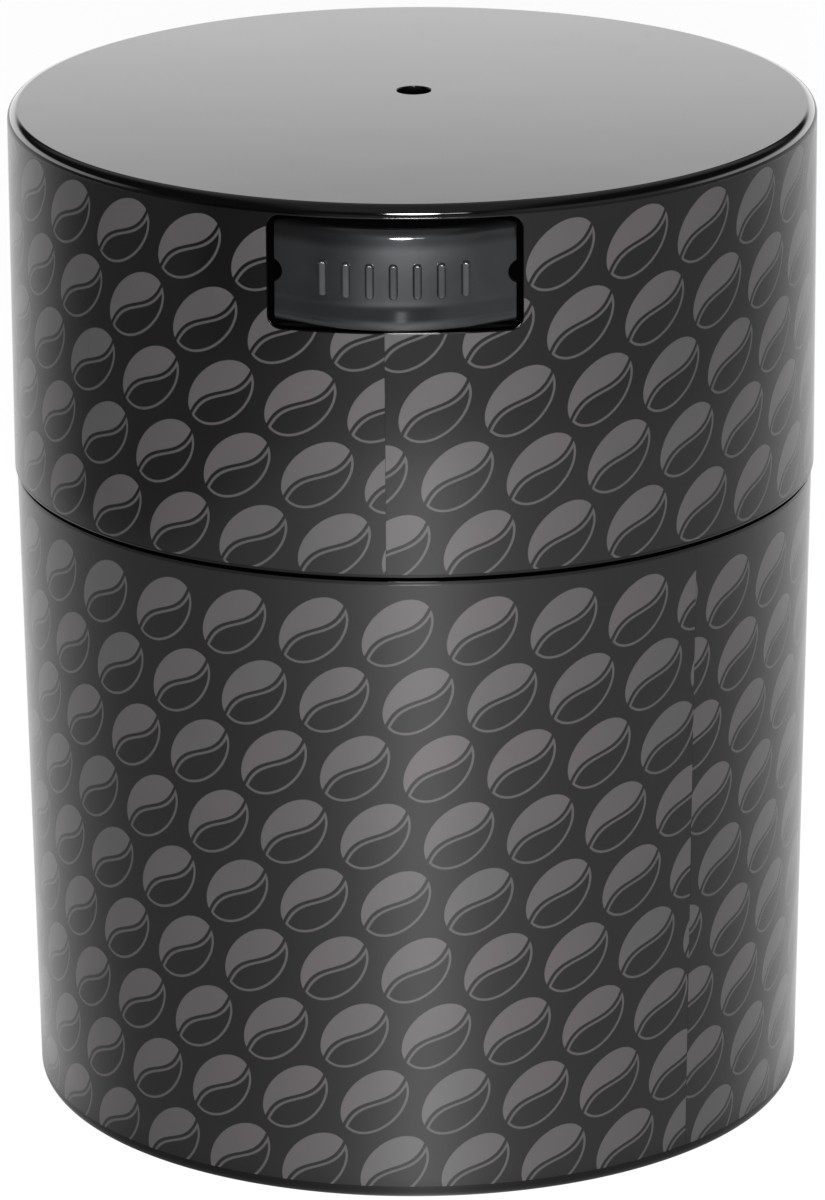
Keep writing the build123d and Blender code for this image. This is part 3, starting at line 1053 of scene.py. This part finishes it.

# %% [markdown]
# A spring is a circle of wire, turned and lifted by the Screw modifier, with its two cut ends
# closed afterwards. Two springs push the button out, and a small one shuts the valve. They
# get shorter as the button goes in.

# %% Springs
def wind_spring(name, wire, coil_radius, length, turns):
    """A coil along +Z from the origin, one closed tube."""
    deselect_all()
    bpy.ops.mesh.primitive_circle_add(vertices=14, radius=wire / 2, rotation=(pi / 2, 0, 0))
    obj = bpy.context.object
    obj.name = name
    obj.location = (coil_radius, 0, 0)
    bpy.ops.object.transform_apply()
    apply_modifier(
        obj,
        "SCREW",
        axis="Z",
        angle=2 * pi * turns,
        screw_offset=length,
        steps=36 * turns,
        render_steps=36 * turns,
        use_merge_vertices=False,
    )
    edit(obj)
    tidy_mesh()
    leave()
    return obj


button_spring_low, button_spring_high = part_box("button_springs")
valve_spring_low, valve_spring_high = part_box("valve_spring")
wire = 0.7 * MM
spring_length = button_spring_high.y - button_spring_low.y - wire
coil = wind_spring("spring_pair", wire, spring_radius, spring_length, 6)
edit(coil)
select_all()
bpy.ops.transform.rotate(value=pi / 2, orient_axis="X", center_override=(0, 0, 0))
leave()
if max(vertex.co.y for vertex in coil.data.vertices) < wire:
    raise ValueError("the spring lies the wrong way")
second = copy_of(coil)
for piece, side in ((coil, -1), (second, 1)):
    move_to(piece, (side * spring_x, button_spring_low.y + wire / 2, window_middle))
join(coil, second)
finish(coil)

valve_wire = 0.6 * MM
valve_spring_radius = 3.0 * MM
closer_length = valve_spring_high.z - valve_spring_low.z - valve_wire
closer = wind_spring("valve_closer", valve_wire, valve_spring_radius, closer_length, 3)
move_to(closer, (0, valve_y, valve_spring_low.z + valve_wire / 2))
finish(closer)

# %% [markdown]
# The gasket is a lip seal in the plug's groove, and the seal is a thick rubber washer under
# the valve. Both are turned sections with rounded corners.

# %% Gasket and valve seal
gasket_low, gasket_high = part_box("lid_gasket")
lip = gasket_high.x
gasket_foot = gasket_low.z
gasket_head = gasket_high.z
gasket_middle = (gasket_foot + gasket_head) / 2
gasket_root = 54.35 * MM
gasket_back = 0.8 * MM
gasket_face = gasket_root + gasket_back
lip_lean = 0.7 * MM
lip_land = 0.35 * MM
lip_round = 0.15 * MM
gasket = draw_section("lip_gasket", [
    (gasket_root, gasket_foot),
    (gasket_face, gasket_foot),
    (lip, gasket_foot + lip_lean),
    (lip, gasket_foot + lip_lean + lip_land),
    (gasket_face, gasket_middle),
    (lip, gasket_head - lip_lean - lip_land),
    (lip, gasket_head - lip_lean),
    (gasket_face, gasket_head),
    (gasket_root, gasket_head),
])
for height in (gasket_foot + lip_lean, gasket_foot + lip_lean + lip_land):
    round_corner(gasket, lip, height, lip_round, 3)
    round_corner(gasket, lip, gasket_foot + gasket_head - height, lip_round, 3)
turn_section(gasket)
finish(gasket, radians(25))

seal_low, seal_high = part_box("valve_seal")
seal_radius = seal_high.x
seal_bore = 1.55 * MM
seal_round = 0.25 * MM
seal = draw_section("seal_washer", [
    (seal_bore, seal_low.z),
    (seal_radius, seal_low.z),
    (seal_radius, seal_high.z),
    (seal_bore, seal_high.z),
])
round_corner(seal, seal_radius, seal_low.z, seal_round, 4)
round_corner(seal, seal_radius, seal_high.z, seal_round, 4)
turn_section(seal)
move_to(seal, (0, valve_y, 0))
finish(seal)

# %% [markdown]
# A moulded wall ripples by a few thousandths of a millimetre, and its gloss changes a little
# from place to place. More than one material needs that, so it is a node group:
# `moulded_skin` gives a roughness that wanders and a height for a Bump node.
# `handling_marks` adds fine hairlines, as from a cloth, which show as a duller gloss.

# %% Group: moulded skin
def new_group(name, inputs, outputs):
    """A node group, its inputs as terms, and the node that takes its outputs."""
    group = bpy.data.node_groups.new(name, "ShaderNodeTree")
    for label, value in inputs.items():
        socket = group.interface.new_socket(label, in_out="INPUT", socket_type="NodeSocketFloat")
        socket.default_value = value
    for label in outputs:
        group.interface.new_socket(label, in_out="OUTPUT", socket_type="NodeSocketFloat")
    source = group.nodes.new("NodeGroupInput")
    given = {label: Term(source.outputs[label]) for label in inputs}
    return group, given, group.nodes.new("NodeGroupOutput")


def noise(tree, scale, detail, stretch=(1, 1, 1), turn=0.0):
    """Noise on the object's own coordinates, from 0 to 1. Stretch and turn make streaks."""
    place = Term(add_node(tree, "TexCoord").outputs["Object"])
    mapping = add_node(tree, "Mapping", Vector=place, Scale=stretch, Rotation=(0, 0, turn))
    mapped = Term(mapping.outputs["Vector"])
    texture = add_node(tree, "TexNoise", Vector=mapped, Scale=scale, Detail=detail)
    return Term(texture.outputs["Fac"])


moulded_skin, given, result = new_group(
    "moulded_skin",
    {"Roughness": 0.1, "Variation": 0.04, "Ripple": 0.3, "Grain": 0.1},
    ("Roughness", "Height"),
)
wander = (noise(moulded_skin, 45.0, 2.0) - 0.5) * given["Variation"]
ripple = noise(moulded_skin, 70.0, 1.0) * given["Ripple"]
grain = noise(moulded_skin, 900.0, 3.0) * given["Grain"]
feed_named(result, Roughness=given["Roughness"] + wander, Height=ripple + grain)
print("moulded skin nodes:", len(moulded_skin.nodes))

# %% Group: handling marks
handling_marks, given, result = new_group("handling_marks", {"Amount": 0.5}, ("Mask",))
lines = 0.0
for lean, across in ((0.35, 30), (1.1, 24), (2.4, 36)):
    streaks = noise(handling_marks, 60.0, 2.0, (across, 1, 1), lean)
    lines = calc("MAXIMUM", lines, soft_step(streaks, 0.68, 0.74))
patches = soft_step(noise(handling_marks, 30.0, 3.0), 0.48, 0.68)
feed_named(result, Mask=lines * patches * given["Amount"])
print("handling marks nodes:", len(handling_marks.nodes))

# %% [markdown]
# The print is a lattice of beans. A bean is an ellipse with its long axis tilted, a wavy
# crease along that axis, the upper leaf filled and the lower leaf only outlined. A film is a
# flat strip before it goes round the tub, so the pattern is laid out in millimetres along the
# strip, from the seam, and in height. The nearest row and column give each point its bean.
#
# Rows step sideways by a fixed shift, and climb a little along the strip, because a strip
# never goes round a tapered tub quite straight. Each film has its own numbers.

# %% Group: bean print
BEAN_LAYOUT = (
    "Seam", "Girth", "Row Height", "Row Spacing", "Row Climb", "Row Bend",
    "Top Row", "First Column", "Column Pitch", "Row Shift", "Stretch",
)
bean_length = 6.1
bean_width = 4.12
bean_tilt = radians(43.6)
crease_wave = 1.05
crease_period = 7.2
crease_half = 0.26
line_width = 0.36
print_blur = 0.07

layout = dict.fromkeys(BEAN_LAYOUT, 0.0)
bean_print, given, result = new_group("bean_print", layout, ("Leaf", "Line"))
x, y, z = split_place(bean_print, "Object")
around = calc("ARCTAN2", x, y * -1.0)
strip = calc("WRAP", around - given["Seam"], 2 * pi, 0.0) * given["Girth"]
level = z * (1 / MM)
climb = strip * (strip * given["Row Bend"] + given["Row Climb"])
rows_below = (given["Row Height"] + climb - level) / given["Row Spacing"]
row = calc("ROUND", rows_below)
dz = (row - rows_below) * given["Row Spacing"]
along = strip * (1.0 - (level - given["Row Height"]) * given["Stretch"])
start = row * given["Row Shift"] + given["First Column"]
columns_on = (along - start) / given["Column Pitch"]
du = (columns_on - calc("ROUND", columns_on)) * given["Column Pitch"]

long_way = du * cos(bean_tilt) + dz * sin(bean_tilt)
cross_way = dz * cos(bean_tilt) - du * sin(bean_tilt)
over_crease = cross_way + calc("SINE", long_way * (pi / crease_period)) * crease_wave


def square_sum(length, width):
    """The two ways as shares of a length and a width, squared and added."""
    long_share, cross_share = long_way / length, cross_way / width
    return long_share * long_share + cross_share * cross_share


ring = calc("SQRT", square_sum(bean_length, bean_width))
slope = calc("SQRT", square_sum(bean_length**2, bean_width**2) + 1e-6)
to_edge = (1.0 - ring) * ring / slope

in_rows = calc("GREATER_THAN", row, given["Top Row"] - 0.5)
above = soft_step(over_crease, crease_half - print_blur, crease_half + print_blur)
leaf = soft_step(to_edge, -print_blur, print_blur) * in_rows * above
to_line = calc("MINIMUM", to_edge, (-crease_half - over_crease) * 0.92)
line_start = soft_step(to_line, -print_blur, print_blur)
line_end = soft_step(to_line, line_width + print_blur, line_width - print_blur)
feed_named(result, Leaf=leaf, Line=line_start * line_end * in_rows)
print("bean print nodes:", len(bean_print.nodes))

# %% [markdown]
# A film is printed on its back and looked at through clear polyester. That layer is the
# shader's coat, which mirrors the paper over beans and ground alike. Below it the ink is a
# warm grey on charcoal, rough and slightly metallic, as pearl inks are, so the beans light up
# in a broad patch towards the key lamp.

# %% Material helper
def new_material(name, color, roughness, ior=1.5):
    material = bpy.data.materials.new(name)
    material.use_nodes = True
    shader = material.node_tree.nodes["Principled BSDF"]
    feed_named(shader, Base_Color=(*color, 1), Roughness=roughness, IOR=ior)
    return material, material.node_tree, shader


def place_group(tree, group, **values):
    """Places a node group and returns its outputs by name."""
    node = add_node(tree, "Group")
    node.node_tree = group
    feed_named(node, **values)
    return {socket.name: Term(socket) for socket in node.outputs}


def bump(shader, height, distance):
    """Bumps the surface. The height is a share of the distance, in metres."""
    node = add_node(height.tree, "Bump", Distance=distance, Height=height)
    feed_named(shader, Normal=Term(node.outputs["Normal"]))


def moulded_finish(shader, marks_amount, bump_height, **settings):
    """The moulded skin as a bump, and the roughness that it gives with the handling marks."""
    skin = place_group(shader.id_data, moulded_skin, **settings)
    marks = place_group(shader.id_data, handling_marks, Amount=marks_amount)
    bump(shader, skin["Height"], bump_height)
    return skin["Roughness"] + marks["Mask"]

# %% Printed film
charcoal = (0.0054, 0.0056, 0.0058)
charcoal_warm = (0.0072, 0.0066, 0.0074)
bean_ink = (0.128, 0.115, 0.121)
bean_ink_cool = (0.112, 0.108, 0.110)


def film_material(name, **layout):
    material, tree, shader = new_material(name, charcoal, 0.5, 1.45)
    feed_named(shader, Specular_IOR_Level=0.15, Coat_Weight=1.0, Coat_Roughness=0.09, Coat_IOR=1.58)
    printed = place_group(tree, bean_print, **layout)
    mottle = soft_step(noise(tree, 60.0, 3.0), 0.3, 0.7)
    ink_color = blend_color(mottle, (*bean_ink, 1), (*bean_ink_cool, 1))
    ground = blend_color(mottle, (*charcoal, 1), (*charcoal_warm, 1))
    inked = calc("MAXIMUM", printed["Leaf"], printed["Line"] * 0.85)
    cover = inked * (noise(tree, 2600.0, 2.0) * 0.10 + 0.95)
    dull = moulded_finish(
        shader, 0.1, 0.012 * MM, Roughness=0.48, Variation=0.12, Ripple=0.6, Grain=0.02
    )
    film_color = blend_color(cover, ground, ink_color)
    feed_named(shader, Base_Color=film_color, Metallic=inked * 0.3, Roughness=dull)
    return material


girth = cap_radius / MM
cup_print = film_material(
    "printed_film_cup",
    Seam=cup_seam + pi / 2,
    Girth=girth,
    Row_Height=56.46,
    Row_Spacing=10.464,
    Row_Climb=0.0032,
    Row_Shift=2.97,
    Top_Row=-3.0,
    First_Column=16.5,
    Column_Pitch=12.43,
)
cap_print = film_material(
    "printed_film_cap",
    Seam=cap_seam + pi / 2,
    Girth=girth,
    Row_Height=122.75,
    Row_Spacing=10.52,
    Row_Climb=0.0295,
    Row_Bend=-0.0295 / (2 * pi * girth),
    Row_Shift=3.2,
    Top_Row=-2.0,
    First_Column=7.2,
    Column_Pitch=12.39,
    Stretch=0.0002,
)
print("films:", cup_print.name, cap_print.name)

# %% [markdown]
# Both shells are the same black plastic. Its own colour is almost nothing, so gloss, ripple
# and marks are the whole finish.

# %% Black gloss shell
gloss_black, _, shader = new_material("black_gloss_plastic", (0.0022, 0.0022, 0.0024), 0.06)
shell_skin = dict(Roughness=0.06, Variation=0.04, Ripple=0.5, Grain=0.02)
feed_named(shader, Roughness=moulded_finish(shader, 0.05, 0.012 * MM, **shell_skin))

# %% [markdown]
# The button is a smoky plastic with a fine flake, which acts like dark, rough metal: it
# lights up in a broad patch towards the key lamp and stays almost black elsewhere. The coat
# adds the sharp glints on its edge and bars. The flange behind the face is thin and matt. It
# is painted almost black as shade, so that the gap in the window looks dark, and has no coat,
# or the gap would mirror the key lamp. The sloped band above the foot is duller too, so only
# the dark room shows in it. There and along the upper edge a darker colour is painted shade.

# %% Smoky button
flake_dark = (0.050, 0.052, 0.055, 1)
flake_light = (0.064, 0.066, 0.069, 1)
# The darkest flake colour is painted shade, for the upper edge and the band above the foot.
painted_shade_flake = (0.025, 0.026, 0.028, 1)
# Painted shade: the flange is near black, so that the gap in the window looks dark.
flange_painted_shade = (0.0005, 0.0005, 0.0006, 1)

smoke, tree, shader = new_material("smoky_plastic", (0.055, 0.057, 0.06), 0.5)
feed_named(shader, Specular_IOR_Level=0.2, Metallic=0.85, Coat_Roughness=0.07, Coat_IOR=1.5)
dull = moulded_finish(
    shader, 0.06, 0.02 * MM, Roughness=0.5, Variation=0.14, Ripple=0.8, Grain=0.06
)
_, depth, height = split_place(tree, "Object")
# The flange: its black colour is painted shade, while its matt roughness and missing coat are its
# finish.
shaded_flange = soft_step(depth, flange_front - 1.8 * MM, flange_front - 1.0 * MM)
above_foot = soft_step(height, button_bottom + 1.0 * MM, button_bottom + 2.0 * MM)
below_face = soft_step(height, flare_from + 0.4 * MM, flare_from - 0.8 * MM)
foot_band = above_foot * below_face
# Painted shade: a darker colour along the upper edge, and half as dark in the band above the foot.
top_edge_shade = soft_step(height, button_top - 3.3 * MM, button_top - 1.7 * MM)
painted_shade_band = calc("MAXIMUM", foot_band * 0.5, top_edge_shade)
cloud = soft_step(noise(tree, 160.0, 3.0), 0.35, 0.7)
smoke_color = blend_color(painted_shade_band, blend_color(cloud, flake_dark, flake_light), painted_shade_flake)
feed_named(
    shader,
    Base_Color=blend_color(shaded_flange, smoke_color, flange_painted_shade),
    Roughness=blend_value(shaded_flange, foot_band * 0.36 + dull, 0.9),
    Coat_Weight=1.0 - shaded_flange,
)

# %% [markdown]
# The inner lid and the valve are satin plastic with a fine spark grain. The rubber is a matt,
# slightly dusty silicone. The springs are drawn wire, with fine streaks.

# %% Inner plastic, rubber and steel
satin, tree, shader = new_material("satin_plastic", (0.045, 0.045, 0.048), 0.42)
satin_skin = dict(Roughness=0.42, Variation=0.12, Ripple=0.4, Grain=1.0)
shade = soft_step(noise(tree, 80.0, 3.0), 0.3, 0.7)
satin_color = blend_color(shade, (0.041, 0.041, 0.044, 1), (0.052, 0.052, 0.055, 1))
dull = moulded_finish(shader, 0.2, 0.03 * MM, **satin_skin)
feed_named(shader, Base_Color=satin_color, Roughness=dull)

silicone, tree, shader = new_material("grey_silicone", (0.5, 0.5, 0.5), 0.55, 1.42)
skin = place_group(tree, moulded_skin, Roughness=0.55, Variation=0.15, Ripple=0.3, Grain=1.0)
dust = soft_step(noise(tree, 240.0, 4.0), 0.35, 0.75)
dusty = blend_color(dust, (0.46, 0.46, 0.46, 1), (0.58, 0.58, 0.57, 1))
feed_named(shader, Base_Color=dusty, Roughness=skin["Roughness"])
bump(shader, skin["Height"], 0.03 * MM)

steel, tree, shader = new_material("spring_wire", (0.6, 0.6, 0.6), 0.25)
streaks = noise(tree, 700.0, 3.0, (1, 6, 1))
wire_color = blend_color(streaks, (0.52, 0.52, 0.53, 1), (0.68, 0.67, 0.65, 1))
feed_named(shader, Base_Color=wire_color, Metallic=1.0, Roughness=streaks * 0.25 + 0.15)
bump(shader, streaks, 0.01 * MM)
print("finishes:", [material.name for material in bpy.data.materials])

# %% [markdown]
# Every piece gets its material and is parented to the body it rides on, and the CAD node it
# stands for is hidden. Each row also lists the slot that names its finish, which is not used
# here. The nodes that keep their CAD shape only get a material.

# %% Dress the pieces
PIECES = [
    (cup, gloss_black, "canister", "cup", "black_shell"),
    (cup_film, cup_print, "canister", "body_wrap", "printed_film"),
    (cap, gloss_black, "lid", "cap_shell", "black_shell"),
    (cap_film, cap_print, "lid", "cap_wrap", "printed_film"),
    (button, smoke, "button", "push_button", "smoke_button"),
    (gasket, silicone, "lid", "lid_gasket", "gasket_rubber"),
    (seal, silicone, "valve", "valve_seal", "gasket_rubber"),
    (coil, steel, "lid", "button_springs", "spring_steel"),
    (closer, steel, "lid", "valve_spring", "spring_steel"),
]


def paint(obj, material):
    obj.data.materials.clear()
    obj.data.materials.append(material)


for piece, material, body, node, slot_name in PIECES:
    paint(piece, material)
    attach(piece, body)
    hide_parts(node)
for node in ("inner_lid", "valve_stem"):
    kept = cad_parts[node]
    paint(kept, satin)

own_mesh(coil)
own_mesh(closer)

# %% [markdown]
# The view transform is Standard, so a colour renders as it is written. The dressed
# canister's box is printed.

# %% Box and finish
scene.view_settings.view_transform = "Standard"
low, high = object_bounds()
print("visual box:", [round(value, 4) for value in low], [round(value, 4) for value in high])
